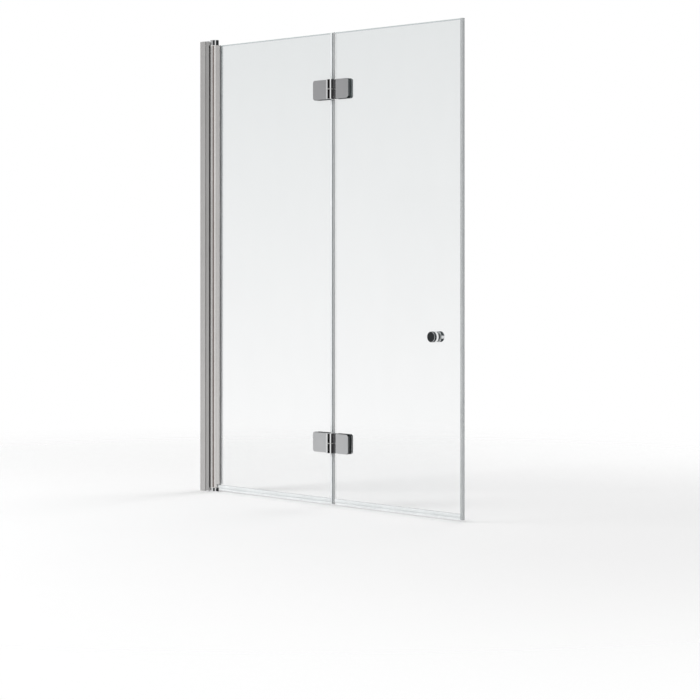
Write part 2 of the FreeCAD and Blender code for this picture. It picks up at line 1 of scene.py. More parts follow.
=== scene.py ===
import bpy
import math
import numpy as np
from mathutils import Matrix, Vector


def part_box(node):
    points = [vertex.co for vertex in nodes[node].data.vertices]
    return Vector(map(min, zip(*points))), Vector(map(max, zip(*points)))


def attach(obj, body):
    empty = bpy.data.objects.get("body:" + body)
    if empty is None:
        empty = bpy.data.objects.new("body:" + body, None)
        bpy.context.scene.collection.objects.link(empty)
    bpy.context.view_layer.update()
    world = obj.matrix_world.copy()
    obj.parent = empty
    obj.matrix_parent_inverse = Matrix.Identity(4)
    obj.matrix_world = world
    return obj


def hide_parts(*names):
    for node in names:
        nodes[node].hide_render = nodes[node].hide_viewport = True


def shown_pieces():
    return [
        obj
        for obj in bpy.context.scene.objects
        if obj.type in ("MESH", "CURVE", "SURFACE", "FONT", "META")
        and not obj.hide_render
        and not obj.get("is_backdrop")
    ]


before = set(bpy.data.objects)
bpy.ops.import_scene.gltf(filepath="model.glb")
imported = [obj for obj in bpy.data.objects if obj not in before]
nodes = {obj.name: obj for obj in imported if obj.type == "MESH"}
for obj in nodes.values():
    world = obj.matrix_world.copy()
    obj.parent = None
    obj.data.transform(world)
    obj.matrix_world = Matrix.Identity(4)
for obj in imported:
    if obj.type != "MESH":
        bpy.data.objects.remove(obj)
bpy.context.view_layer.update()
scene = bpy.context.scene
mm = 0.001  # the pieces' sizes are written in millimetres
print("frame loaded:", len(nodes), "nodes")


def connect(tree, value, target):  # links a wire to a socket, sets anything else on it
    if isinstance(value, Wire):
        tree.links.new(value.socket, target)
    else:
        target.default_value = value


# shader sockets as values: operators add Math nodes, node() adds anything else
class Wire:
    def __init__(self, tree, socket):
        self.tree = tree
        self.socket = socket

    def node(self, kind, settings=None, sockets=None, out=0):
        made = self.tree.nodes.new(kind)
        for name, value in (settings or {}).items():
            setattr(made, name, value)
        for name, value in (sockets or {}).items():
            connect(self.tree, value, made.inputs[name])
        return Wire(self.tree, made.outputs[out])

    def maths(self, operation, first, second):
        return self.node("ShaderNodeMath", {"operation": operation}, {0: first, 1: second})

    def __add__(self, other):
        return self.maths("ADD", self, other)

    def __radd__(self, other):
        return self.maths("ADD", other, self)

    def __sub__(self, other):
        return self.maths("SUBTRACT", self, other)

    def __rsub__(self, other):
        return self.maths("SUBTRACT", other, self)

    def __mul__(self, other):
        return self.maths("MULTIPLY", self, other)

    def __rmul__(self, other):
        return self.maths("MULTIPLY", other, self)

    def clamp(self, low, high):
        return self.node("ShaderNodeClamp", None, {"Value": self, "Min": low, "Max": high})

    def fade(self, low, high):  # 0 below low, 1 above high, smooth between
        settings = {"interpolation_type": "SMOOTHSTEP", "clamp": True}
        return self.node("ShaderNodeMapRange", settings, {"Value": self, "From Min": low, "From Max": high})

    def absolute(self):
        return self.node("ShaderNodeMath", {"operation": "ABSOLUTE"}, {0: self})

    def tint(self, first, second):  # mixes two colours, written or wired, by this value
        ends = [end if isinstance(end, Wire) else (*end, 1.0) for end in (first, second)]
        return self.node("ShaderNodeMix", {"data_type": "RGBA"}, {0: self, 6: ends[0], 7: ends[1]}, 2)


def objectPlace(tree):  # object coordinates
    return Wire(tree, None).node("ShaderNodeTexCoord", out=3)


def startMaterial(name):
    material = bpy.data.materials.new(name)
    material.use_nodes = True
    return material, objectPlace(material.node_tree)


def shaderOf(material):
    return material.node_tree.nodes["Principled BSDF"]


def feed(material, **inputs):  # fills the shader's sockets
    for name, value in inputs.items():
        connect(material.node_tree, value, shaderOf(material).inputs[name.replace("_", " ")])


def showSurface(material, surface):  # in place of the shader
    target = material.node_tree.nodes["Material Output"].inputs["Surface"]
    connect(material.node_tree, surface, target)


def stretched(place, scale):  # coordinates scaled for streaks
    return place.node("ShaderNodeMapping", None, {"Vector": place, "Scale": scale})


def noise(place, scale, detail=3.0, rough=0.55):
    sockets = {"Vector": place, "Scale": scale, "Detail": detail, "Roughness": rough}
    return place.node("ShaderNodeTexNoise", None, sockets)


def bump(height, strength, distance):
    sockets = {"Height": height, "Strength": strength, "Distance": distance}
    return height.node("ShaderNodeBump", None, sockets)


def axisOf(vector, axis):
    return vector.node("ShaderNodeSeparateXYZ", None, {"Vector": vector}, axis)


def facing(place, axis):  # the surface normal's share along an axis, in the piece's own frame
    return axisOf(place.node("ShaderNodeTexCoord", out=1), axis)


# metal finishes: streaks run along the extrusion, smudges are broad and faint; where a finish has a
# painted edge shade, level edges that look towards the screen's middle height are painted dark
extruded = dict(spread=0.03, streak=(1900.0, 1900.0, 2.0), smudge=9.0, relief=0.000004)
plated = dict(streak=(60.0, 60.0, 2600.0), smudge=26.0, relief=0.000004, paintedEdgeShade=(0.02, 0.02, 0.021),
              middle=0.7, edgeShadeFade=(-0.2, -0.1))
metalLooks = {
    "brightAluminium": dict(extruded, dark=(0.665, 0.651, 0.637), light=(0.715, 0.701, 0.687),
                            rough=0.07, metallic=0.78),
    "wallAluminium": dict(extruded, dark=(0.505, 0.497, 0.487), light=(0.555, 0.547, 0.537),
                          rough=0.16, metallic=0.62),
    "postAluminium": dict(extruded, dark=(0.395, 0.389, 0.382), light=(0.445, 0.439, 0.432),
                          rough=0.16, metallic=0.62),
    "chrome": dict(dark=(0.78, 0.785, 0.79), light=(0.84, 0.845, 0.85), rough=0.04, spread=0.03,
                   streak=(90.0, 90.0, 90.0), smudge=38.0, relief=0.000003, metallic=1.0),
    "satinChrome": dict(plated, dark=(0.43, 0.434, 0.438), light=(0.47, 0.474, 0.478),
                        rough=0.22, spread=0.04, metallic=0.6),
    "plateChrome": dict(plated, dark=(0.58, 0.585, 0.59), light=(0.62, 0.625, 0.63),
                        rough=0.09, spread=0.03, metallic=0.92),
    "steel": dict(dark=(0.48, 0.48, 0.49), light=(0.60, 0.60, 0.61), rough=0.30, spread=0.08,
                  streak=(900.0, 900.0, 90.0), smudge=40.0, relief=0.00001, metallic=0.85),
}
metalMix = dict(streakShare=0.55, smudgeShare=0.45, detail=4.0, smudgeRough=0.6, contrast=(0.3, 0.7),
                roughRange=(0.02, 0.6), bumpStrength=0.25)


def metal(name):
    look, mix = metalLooks[name], metalMix
    material, place = startMaterial(name)
    streaks = noise(stretched(place, look["streak"]), 1.0, mix["detail"])
    smudges = noise(place, look["smudge"], mix["detail"], mix["smudgeRough"])
    tone = (streaks * mix["streakShare"] + smudges * mix["smudgeShare"]).clamp(0.0, 1.0)
    colour = tone.fade(*mix["contrast"]).tint(look["dark"], look["light"])
    if "paintedEdgeShade" in look:
        # painted shade: level edges that look towards the middle height take the dark edge tone
        towardsMiddle = facing(place, 2) * (axisOf(place, 2) - look["middle"])  # below 0 on such edges
        colour = towardsMiddle.fade(*look["edgeShadeFade"]).tint(look["paintedEdgeShade"], colour)
    roughness = look["rough"] + (smudges - 0.5) * look["spread"] + (streaks - 0.5) * look["spread"]
    feed(material, Base_Color=colour, Metallic=look["metallic"],
         Roughness=roughness.clamp(*mix["roughRange"]),
         Normal=bump(streaks, mix["bumpStrength"], look["relief"]))
    return material


# clear float glass: a faint cool cast, greener on the cut edges, with a film of dried water; a painted
# shade darkens the pane towards its top, and a darker band painted along the top of the pane stands in
# for the shade where the cut edge shows
glassLook = dict(face=(0.27, 0.325, 0.335), edge=(0.36, 0.49, 0.46), edgeAlpha=0.1, rimFade=(0.5, 0.9),
                 alphaFoot=0.02, alphaRise=0.116, headShadeLow=0.0045, headShadeHigh=0.002, paintedHeadShade=0.3,
                 filmStretch=(5.0, 5.0, 1.4), filmScale=3.0, filmDetail=5.0, filmRough=0.6, smear=0.02,
                 rough=0.03, filmGloss=0.05, roughRange=(0.01, 0.2), ior=1.5)


def clearGlass():
    look = glassLook
    material, place = startMaterial("clearGlass")
    height = axisOf(place, 2)
    rim = 1.0 - facing(place, 1).absolute().fade(*look["rimFade"])
    runs = stretched(place, look["filmStretch"])
    film = noise(runs, look["filmScale"], look["filmDetail"], look["filmRough"])
    # painted shade: the pane grows more opaque, and so darker, with height
    body = look["alphaFoot"] + height * look["alphaRise"] + (film - 0.5) * look["smear"]
    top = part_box("inner_glass")[1][2]
    # painted shade: a darker band along the top of the pane
    head = height.fade(top - look["headShadeLow"], top - look["headShadeHigh"])
    alpha = (body + head * look["paintedHeadShade"]) * (1.0 - rim) + rim * look["edgeAlpha"]
    feed(material, Base_Color=rim.tint(look["face"], look["edge"]), IOR=look["ior"],
         Roughness=(look["rough"] + film * look["filmGloss"]).clamp(*look["roughRange"]),
         Alpha=alpha.clamp(0.0, 1.0))
    return material


# soft plastics: tone, cloudiness and gloss; end is a painted shade tone on faces square to the screen,
# darker than the rest on most finishes and lighter on some, for how light falls on those faces; wetSide
# is the alpha on the far side of the glass
stripGrain = dict(haze=0.06, rough=0.24, grain=(300.0, 300.0, 6.0), relief=0.00001)
gasketGrain = dict(grain=(900.0, 900.0, 40.0), relief=0.00002)
plasticLooks = {
    "clearStrip": dict(stripGrain, dark=(0.80, 0.825, 0.83), light=(0.88, 0.90, 0.905),
                       end=(0.36, 0.385, 0.39), alpha=0.76),
    "greyStrip": dict(stripGrain, dark=(0.44, 0.46, 0.465), light=(0.51, 0.53, 0.535),
                      end=(0.62, 0.64, 0.645), alpha=0.7),
    "smokedStrip": dict(stripGrain, dark=(0.35, 0.36, 0.363), light=(0.40, 0.41, 0.413),
                        end=(0.38, 0.39, 0.393), alpha=0.72, wetSide=0.05, wetFade=(-0.003, 0.003)),
    "clearWasher": dict(dark=(0.62, 0.64, 0.64), light=(0.80, 0.82, 0.82), end=(0.55, 0.57, 0.57),
                        alpha=0.55, haze=0.10, rough=0.22, grain=(300.0, 300.0, 300.0), relief=0.00001),
    "blackRubber": dict(dark=(0.012, 0.012, 0.013), light=(0.03, 0.029, 0.029), end=(0.018, 0.018, 0.018),
                        rough=0.62, grain=(900.0, 900.0, 60.0), relief=0.00003),
    "greyGasket": dict(gasketGrain, dark=(0.58, 0.58, 0.585), light=(0.66, 0.66, 0.665),
                       end=(0.17, 0.17, 0.172), rough=0.55),
    # painted light: the inner gasket is painted lighter than the outer one, to lift the jaw's shade on it
    "whiteGasket": dict(gasketGrain, dark=(0.86, 0.87, 0.87), light=(0.92, 0.93, 0.93),
                        end=(0.90, 0.91, 0.91), rough=0.50),
    "whiteNylon": dict(dark=(0.66, 0.655, 0.63), light=(0.76, 0.755, 0.735), end=(0.68, 0.675, 0.65),
                       rough=0.45, grain=(400.0, 400.0, 400.0), relief=0.00002),
}
plasticMix = dict(grainDetail=5.0, grainRough=0.6, cloudScale=14.0, cloudDetail=3.0, grainShare=0.5,
                  cloudShare=0.5, contrast=(0.3, 0.7), endShadeFade=(0.5, 0.9), spread=0.16,
                  roughRange=(0.05, 0.9), bumpStrength=0.3)


def plastic(name):
    look, mix = plasticLooks[name], plasticMix
    material, place = startMaterial(name)
    grain = noise(stretched(place, look["grain"]), 1.0, mix["grainDetail"], mix["grainRough"])
    cloud = noise(place, mix["cloudScale"], mix["cloudDetail"])
    tone = (grain * mix["grainShare"] + cloud * mix["cloudShare"]).fade(*mix["contrast"])
    # painted shade: faces square to the screen take the end tone
    paintedEndShade = facing(place, 0).absolute().fade(*mix["endShadeFade"])
    feed(material, Base_Color=paintedEndShade.tint(tone.tint(look["dark"], look["light"]), look["end"]),
         Roughness=(look["rough"] + (cloud - 0.5) * mix["spread"]).clamp(*mix["roughRange"]),
         Normal=bump(grain, mix["bumpStrength"], look["relief"]))
    if "alpha" in look:
        alpha = look["alpha"] + (cloud - 0.5) * look["haze"]
        if "wetSide" in look:
            wet = axisOf(place, 1).fade(*look["wetFade"])
            alpha = alpha * (1.0 - wet) + wet * look["wetSide"]
        feed(material, Alpha=alpha.clamp(0.0, 1.0))
    return material


# joint shade: a finish with a painted shade line where a piece meets its neighbour, for the shade in
# the joint; the line is the product of steps along X (0) or Y (1), each from low to high, and falling
# where its last value is False
jointShadeLooks = {
    "jointedAluminium": dict(base="wallAluminium", tone=(0.48, 0.473, 0.464),
                             steps=[(0, 0.0228, 0.0238, True)]),
    "seamedChrome": dict(base="plateChrome", tone=(0.05, 0.05, 0.052),
                         steps=[(0, 0.6064, 0.6072, False)]),
    "seamedKnuckle": dict(base="chrome", tone=(0.12, 0.12, 0.122),
                          steps=[(0, 0.6042, 0.6049, True), (1, -0.0122, -0.0114, False)]),
}


def jointShaded(name):
    look = jointShadeLooks[name]
    material = metal(look["base"])
    material.name = name
    tree = material.node_tree
    place = objectPlace(tree)
    shadeLine = 1.0
    for axis, low, high, rising in look["steps"]:
        step = axisOf(place, axis).fade(low, high)
        shadeLine = shadeLine * (step if rising else 1.0 - step)
    before = Wire(tree, shaderOf(material).inputs["Base Color"].links[0].from_socket)
    # the painted shade line darkens the base colour
    feed(material, Base_Color=shadeLine.tint(before, look["tone"]))
    return material


finishes = {name: metal(name) for name in metalLooks}
finishes.update({name: jointShaded(name) for name in jointShadeLooks})
finishes.update({name: plastic(name) for name in plasticLooks})
finishes["clearGlass"] = clearGlass()
print("finishes made:", len(finishes))


# closed shells: rows of points carried along a path, closed round each row, ends closed by one face
def shell(rows):  # rows is an array (along, round, 3)
    along, around = rows.shape[:2]
    index = np.arange(along * around).reshape(along, around)
    nextRound = np.roll(index, -1, axis=1)
    quads = np.stack([index[:-1], nextRound[:-1], nextRound[1:], index[1:]], axis=-1).reshape(-1, 4)
    ends = np.stack([index[0, ::-1], index[-1]])
    points = rows.reshape(-1, 3)
    # signed volume of the ring of quads tells whether the faces point outwards
    middle = points.mean(axis=0)
    a, b, c, d = (points[quads[:, i]] - middle for i in range(4))
    volume = np.einsum("ij,ij->i", np.cross(b - a, c - a), a + b + c).sum()
    volume += np.einsum("ij,ij->i", np.cross(c - a, d - a), a + c + d).sum()
    if volume < 0:
        quads, ends = quads[:, ::-1], ends[:, ::-1]
    return points, quads, ends


def makePiece(name, shells, body, finish, slot, *replaced, sharp=28.0):
    # edges that turn by more than sharp degrees stay crisp
    points, faces, first = [], [], 0
    for shellPoints, quads, ends in shells:
        points.append(shellPoints)
        faces += (quads + first).tolist() + (ends + first).tolist()
        first += len(shellPoints)
    mesh = bpy.data.meshes.new(name)
    mesh.from_pydata(np.concatenate(points).tolist(), [], faces)
    mesh.polygons.foreach_set("use_smooth", np.ones(len(mesh.polygons), bool))
    mesh.set_sharp_from_angle(angle=math.radians(sharp))
    mesh.materials.append(finishes[finish])
    mesh.update()
    piece = bpy.data.objects.new(name, mesh)
    scene.collection.objects.link(piece)
    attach(piece, body)
    if replaced:
        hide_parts(*replaced)


samePoint = 1e-6  # closer points, in mm, count as one
tiny = 1e-9  # keeps divisions away from zero


def arc(centre, radius, start, end, count):  # centre + radius (cos a, sin a), a from start to end degrees
    angle = np.radians(np.linspace(start, end, count))
    return np.array(centre) + radius * np.stack([np.cos(angle), np.sin(angle)], axis=-1)


def distinct(points):  # drops points that the next one repeats
    step = np.linalg.norm(np.diff(points, axis=0, append=points[:1]), axis=1)
    return points[step > samePoint]


def cornerArcs(corners, radii, count=7):
    # each corner becomes an arc between the tangent points that lie radius / tan(half angle) from it
    corners = np.array(corners, float)
    radii = np.broadcast_to(np.array(radii, float), len(corners))
    before = np.roll(corners, 1, axis=0) - corners
    after = np.roll(corners, -1, axis=0) - corners
    before /= np.linalg.norm(before, axis=1, keepdims=True)
    after /= np.linalg.norm(after, axis=1, keepdims=True)
    half = np.arccos(np.clip((before * after).sum(axis=1), -1, 1)) / 2
    reach = (radii / np.tan(half))[:, None, None]
    step = np.linspace(0, 1, count)[None, :, None]
    start, end = corners[:, None] + before[:, None] * reach, corners[:, None] + after[:, None] * reach
    bisector = before + after
    bisector /= np.linalg.norm(bisector, axis=1, keepdims=True)
    centre = corners + bisector * (radii / np.sin(half))[:, None]
    chord = start * (1 - step) + end * step - centre[:, None]
    length = np.linalg.norm(chord, axis=2, keepdims=True)
    curve = centre[:, None] + chord / np.maximum(length, tiny) * radii[:, None, None]
    sharpCorner = np.broadcast_to(corners[:, None], curve.shape)
    return np.where(radii[:, None, None] > 0, curve, sharpCorner)


def rounded(corners, radii, count=7):  # the corners' arcs joined into one loop
    return distinct(cornerArcs(corners, radii, count).reshape(-1, 2))


def offsetInwards(outline, distance):  # moves each point of a loop along its own inward normal
    ahead = np.roll(outline, -1, axis=0) - np.roll(outline, 1, axis=0)
    ahead /= np.maximum(np.linalg.norm(ahead, axis=1, keepdims=True), tiny)
    normal = np.stack([-ahead[:, 1], ahead[:, 0]], axis=-1)
    x, y = outline.T
    area = (x * np.roll(y, -1) - np.roll(x, -1) * y).sum()
    return outline + normal * distance * np.sign(area)


def lift(outline, heights, insets, plane):
    # carries a flat loop through heights, drawn in by insets; plane maps (a, b, height) to x, y, z
    loops = np.stack([offsetInwards(outline, inset) for inset in insets])
    level = np.broadcast_to(np.array(heights, float)[:, None, None], (*loops.shape[:2], 1))
    return plane(np.concatenate([loops, level], axis=-1)) * mm


def upright(points):  # (x, y, z) as drawn
    return points


def facingOut(points):  # (x, z, distance out) to x, y, z
    return np.stack([points[..., 0], -points[..., 2], points[..., 1]], axis=-1)


def turnedOn(profile, centre, axis, count):
    # profile (radius, along) turned about an axis: centre + along axis + radius (cos t, sin t)
    turn = np.linspace(0, 2 * np.pi, count, endpoint=False)
    radius, along = np.array(profile, float).T
    ring = np.stack([np.cos(turn), np.sin(turn)], axis=-1)[None] * radius[:, None, None]
    side = np.broadcast_to(along[:, None], ring.shape[:2])
    if axis == "z":
        points = np.stack([ring[..., 0], ring[..., 1], side], axis=-1)
    else:
        points = np.stack([ring[..., 0], -side, ring[..., 1]], axis=-1)
    return (points + np.array(centre, float)) * mm


holdRing = 0.25  # extra ring beside a rounded edge, so that the flat faces shade flat
edgeSteps = 6  # points on a rounded edge


def towards(start, face, edge):
    # heights and insets from a square edge at start to a quarter-circle edge at face
    angle = np.linspace(0, np.pi / 2, edgeSteps)
    inset, rise = edge * (1 - np.cos(angle)), edge * np.sin(angle)
    side = 1.0 if face > start else -1.0
    heights = [start, face - side * (edge + holdRing), *(face - side * (edge - rise)), face]
    return heights, [0, 0, *inset, edge + holdRing]


# pivot tube: round nose, two flat jaws with a glazing slot, jaws cut away at the foot; the plain foot
# runs on into the jawed length, where slack keeps it just inside
tube = dict(pivot=50.0, radius=15.0, jawHalf=8.0, slotHalf=5.6, floor=17.5, mouth=29.0, fillet=2.0,
            tip=0.6, foot=13.8, jawFoot=24.0, top=1381.2, overlap=1.0, slack=0.05, noseSteps=90,
            filletSteps=7, tipSteps=5)


def pivotTube():
    t = tube
    # a fillet touches the nose and a jaw: its centre lies where rise^2 + reach^2 = (radius + fillet)^2
    rise = t["jawHalf"] + t["fillet"]
    reach = math.sqrt((t["radius"] + t["fillet"]) ** 2 - rise ** 2)
    touch = math.degrees(math.atan2(rise, reach))
    nose = arc((0, 0), t["radius"], touch, 360 - touch, t["noseSteps"])
    lower = arc((reach, -rise), t["fillet"], 180 - touch, 90, t["filletSteps"])[1:]
    upper = arc((reach, rise), t["fillet"], -90, touch - 180, t["filletSteps"])[:-1]
    tip = arc((t["mouth"] - t["tip"], -t["jawHalf"] + t["tip"]), t["tip"], -90, 0, t["tipSteps"])
    slot = np.array([(t["mouth"], -t["slotHalf"]), (t["floor"], -t["slotHalf"]),
                     (t["floor"], t["slotHalf"]), (t["mouth"], t["slotHalf"])])
    jawed = np.concatenate([nose, lower, tip, slot, tip[::-1] * (1, -1), upper])
    front = np.array([(t["floor"], -t["jawHalf"]), (t["floor"], t["jawHalf"])])
    plain = np.concatenate([nose, lower, front, upper])
    shells = []
    for section, low, high, slack in ((jawed, t["jawFoot"], t["top"], 0.0),
                                      (plain, t["foot"], t["jawFoot"] + t["overlap"], t["slack"])):
        section = section + (t["pivot"], 0)
        shells.append(shell(lift(section, (low, high), (slack, slack), upright)))
    makePiece("pivotTubeSkin", shells, "inner_leaf", "brightAluminium", "bright_aluminium", "pivot_tube")


# bearing caps: a thin lid over the post and an arm with a round end over the tube, both outlines carried
# from the inside to a face with a quarter-circle edge
caps = dict(start=2.3, noseEnd=39.5, half=16.9, armStart=39.8, pivot=50.0, arm=11.0, edge=2.0, lidEdge=0.3,
            lidRound=0.6, sunk=0.08, bridge=(38.0, 41.5, 10.8), tipSteps=64,
            head=(1393.5, 1396.5, 1383.0, 1400.0), foot=(3.0, 0.0, 12.0, 0.0))


def bearingCap(name, lidInside, lidFace, armInside, armFace, node):
    c = caps
    lidFace += c["sunk"] * np.sign(lidInside - lidFace)  # screw heads stay just proud of the lid
    lid = np.array([(c["start"], -c["half"]), (c["noseEnd"], -c["half"]),
                    (c["noseEnd"], c["half"]), (c["start"], c["half"])])
    near, far, half = c["bridge"]
    bridge = np.array([(near, -half), (far, -half), (far, half), (near, half)])
    tip = arc((c["pivot"], 0), c["arm"], -90, 90, c["tipSteps"])
    arm = np.concatenate([tip, np.array([(c["armStart"], c["arm"]), (c["armStart"], -c["arm"])])])
    low, high = sorted((lidInside, lidFace))
    shells = [shell(lift(rounded(lid, c["lidRound"]), *towards(lidInside, lidFace, c["lidEdge"]), upright)),
              shell(lift(bridge, (low + c["lidEdge"], high - c["lidEdge"]), (0, 0), upright)),
              shell(lift(arm, *towards(armInside, armFace, c["edge"]), upright))]
    makePiece(name, shells, "wall_post", "chrome", "chrome", node)


# folding hinges: a plate on each leaf, its outline carried out of the glass to a rounded edge, and a
# knuckle in two halves, each a profile turned about the fold's axis
hinge = dict(x=593.5, out=13.0, heights=(1215.5, 184.5), half=29.0, far={-1: 78.5, 1: 73.0}, corner=8.0,
             back=4.0, face=11.0, bevel=0.9, knuckle=12.5, root=0.5, relief=13.0, knuckleEdge=0.7,
             gapLow=0.5, gapHigh=0.4, cornerSteps=12, rings=96, sharp=50.0)


def hingeBody(place, leaf, side, z):  # side is 1 on the outer leaf, -1 on the inner one
    h = hinge
    low, high = (h["gapHigh"], h["half"]) if side > 0 else (-h["half"], -h["gapLow"])
    near, far = h["knuckle"] * h["root"], h["far"][side]
    top, gap = side * h["half"], side * h["gapHigh"]
    corners = [(near, top), (near, gap), (h["relief"], gap), (h["relief"], -top), (far, -top), (far, top)]
    outline = rounded(corners, [0, 0, 0, 0, h["corner"], h["corner"]], h["cornerSteps"])
    outline = outline * (side, 1) + (h["x"], z)
    plate = shell(lift(outline, *towards(h["back"], h["face"], h["bevel"]), facingOut))
    edge = h["knuckleEdge"]
    profile = [(h["knuckle"] - edge, low), (h["knuckle"], low + edge),
               (h["knuckle"], high - edge), (h["knuckle"] - edge, high)]
    knuckle = shell(turnedOn(profile, (h["x"], -h["out"], z), "z", h["rings"]))
    body = "outer_leaf" if side > 0 else "inner_leaf"
    name = f"{place}Hinge{leaf.capitalize()}"
    # the outer plate takes a painted shade line beside the knuckle
    finish = "seamedChrome" if side > 0 else "plateChrome"
    node = f"{place}_hinge_{leaf}_body"
    makePiece(name + "Plate", [plate], body, finish, "chrome", node, sharp=h["sharp"])
    # the knuckle takes a painted shade on its side towards the plate
    makePiece(name + "Knuckle", [knuckle], body, "seamedKnuckle", "chrome")


# knob: an outer grip with a flared base and a groove, and a plain inner grip; each is a profile of
# (radius, distance out) with rounded corners, turned about the knob's axis
knob = dict(x=1015.0, z=505.5, washer=4.0, radius=15.0, waist=11.0, rim=2.2, base=7.0, groove=2.0,
            head=9.0, inner=13.0, edge=0.8, innerEdge=1.6, rings=96)


def heldPoint(edge, neighbour):  # a short way from the end of a rounded edge towards its neighbour
    away = neighbour - edge
    return edge + away * holdRing / np.maximum(np.linalg.norm(away, axis=2, keepdims=True), tiny)


def knobGrip(name, profile, radii, mirror, node):
    k = knob
    arcs = cornerArcs([(0, profile[0][1]), *profile, (0, profile[-1][1])], [0, *radii, 0])
    before, after = np.roll(arcs, 1, axis=0)[1:-1, -1:], np.roll(arcs, -1, axis=0)[1:-1, :1]
    edges = arcs[1:-1]
    held = [heldPoint(edges[:, :1], before), edges, heldPoint(edges[:, -1:], after)]
    side = distinct(np.concatenate(held, axis=1).reshape(-1, 2)) * (1, mirror)
    part = shell(turnedOn(side, (k["x"], 0, k["z"]), "y", k["rings"]))
    makePiece(name, [part], "outer_leaf", "chrome", "chrome", node)


def knobPieces():
    k = knob
    foot, waistLow = k["washer"], k["washer"] + k["base"]
    waistHigh = waistLow + k["groove"]
    top = waistHigh + k["head"]
    outer = [(k["radius"], foot), (k["radius"], foot + k["rim"]), (k["waist"], waistLow),
             (k["waist"], waistHigh), (k["radius"], waistHigh), (k["radius"], top)]
    edge = k["edge"]
    knobGrip("knobOuterSkin", outer, [edge, edge, 0, 0, edge, edge], 1, "knob_outer_grip")
    inner = [(k["radius"], foot), (k["radius"], foot + k["inner"])]
    knobGrip("knobInnerSkin", inner, [k["innerEdge"], edge], -1, "knob_inner_grip")


pivotTube()
bearingCap("headCapSkin", *caps["head"], "head_bearing_cap")
bearingCap("footCapSkin", *caps["foot"], "foot_bearing_cap")
for placeName, height in zip(("upper", "lower"), hinge["heights"]):
    hingeBody(placeName, "inner", -1, height)
    hingeBody(placeName, "outer", 1, height)
knobPieces()


# finishes of the CAD nodes; those that a new piece stands for are hidden
def finishOf(node):
    if node == "wall_profile":
        # painted shade line along the wall profile's mouth
        return "jointedAluminium"
    if node == "post_profile":
        return "postAluminium"
    if node.endswith("_glass"):
        return "clearGlass"
    if node == "outer_fold_strip":
        return "smokedStrip"
    if node == "free_edge_strip":
        return "greyStrip"
    if node.endswith("_strip"):
        return "clearStrip"
    if node.endswith(("_seal", "_pads")):
        return "blackRubber"
    if node.endswith("_gasket"):
        # the inner gasket's lighter finish is painted light
        return "greyGasket" if node.startswith("outer") else "whiteGasket"
    if node.endswith(("_bush", "_sleeves")):
        return "whiteNylon"
    if node == "knob_washers":
        return "clearWasher"
    if node.endswith("_back_plate"):
        return "satinChrome"
    if node.endswith(("_cap", "_body", "_grip")):
        return "chrome"
    return "steel"


for node, piece in nodes.items():
    piece.data.materials.clear()
    piece.data.materials.append(finishes[finishOf(node)])
print("node finishes set")


# camera of the photograph: level, the horizon above the picture's middle
view = dict(place=(5.1828, -4.2113, 0.7254), turn=47.033, focalPixels=2135.1, horizon=257.47, aside=0.5,
            picture=700.0, sensor=36.0, nearest=0.05, farthest=60.0)


def photoCamera():
    v = view
    data = bpy.data.cameras.new("photoCamera")
    data.sensor_width = v["sensor"]
    data.lens = v["focalPixels"] / v["picture"] * data.sensor_width
    data.shift_x = v["aside"] / v["picture"]
    data.shift_y = -(v["picture"] / 2 - v["horizon"]) / v["picture"]
    data.clip_start, data.clip_end = v["nearest"], v["farthest"]
    camera = bpy.data.objects.new("photoCamera", data)
    scene.collection.objects.link(camera)
    camera.location = v["place"]
    camera.rotation_euler = (math.radians(90), 0.0, math.radians(v["turn"]))
    scene.camera = camera


photoCamera()
print("camera set")


# studio: cards stand in a ring round the object, scrims a step inside them
studio = dict(ambient=0.62, centre=(0.56, 0.0), reach=7.0, low=-9.0, high=10.0, fadeLow=-1.2,
              fadeHigh=2.6, scrimStep=0.1, cardSteps=25)

# cards: start and end round the object in degrees from +X, colour low down and high up, the pieces that
# mirror it, and for a short card its lowest and highest height
cards = {
    "greyCard": (-160.0, -116.0, (0.77, 0.77, 0.775), (0.43, 0.43, 0.435), "all"),
    "darkCard": (-117.0, -55.0, (0.0, 0.0, 0.0), (0.0, 0.0, 0.0), "all"),
    "shadeCard": (-24.0, 20.0, (0.07, 0.07, 0.072), (0.07, 0.07, 0.072), "all"),
    "blackCard": (20.0, 152.0, (0.025, 0.026, 0.028), (0.025, 0.026, 0.028), "all"),
    "leftScrim": (-117.0, -108.0, (0.60, 0.60, 0.60), (0.60, 0.60, 0.60), "tube"),
    "brownScrim": (-108.0, -68.0, (0.085, 0.033, 0.022), (0.085, 0.033, 0.022), "tube"),
    "rightScrim": (-68.0, -55.0, (1.0, 1.0, 1.0), (1.0, 1.0, 1.0), "tube"),
    "softScrim": (-117.0, -55.0, (0.62, 0.62, 0.625), (0.50, 0.50, 0.505), "satin"),
    "wallScrim": (20.0, 152.0, (0.45, 0.45, 0.455), (0.45, 0.45, 0.455), "wallSide"),
    "rearScrim": (60.0, 152.0, (0.50, 0.50, 0.505), (0.50, 0.50, 0.505), "rearSide"),
    "knobScrim": (20.0, 62.0, (0.85, 0.85, 0.855), (0.85, 0.85, 0.855), "knob", -3.0, 2.2),
    "knobRearScrim": (62.0, 152.0, (0.40, 0.40, 0.405), (0.40, 0.40, 0.405), "knob", -3.0, 2.2),
}

# words in the names of the pieces that a scrim lights; other metal mirrors the card behind it
scrimWords = {
    "tube": ("pivotTube",),
    "satin": ("profile", "Plate", "back_plate", "knob", "screws"),
    "wallSide": ("profile",),
    "rearSide": ("pivotTube", "back_plate"),
    "knob": ("knobInner",),
}


def stagePiece(name, points, faces, material):
    mesh = bpy.data.meshes.new(name)
    mesh.from_pydata(np.asarray(points, float).tolist(), [], faces)
    mesh.materials.append(material)
    piece = bpy.data.objects.new(name, mesh)
    scene.collection.objects.link(piece)
    piece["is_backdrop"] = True
    return piece


# floor: a pale disc that fades out towards its rim
floorLook = dict(radius=3.2, colour=(0.96, 0.96, 0.96), shade=0.985, grain=60.0, detail=4.0, rough=0.8,
                 fadeStart=0.25, fadeEnd=0.97, rimSteps=96)


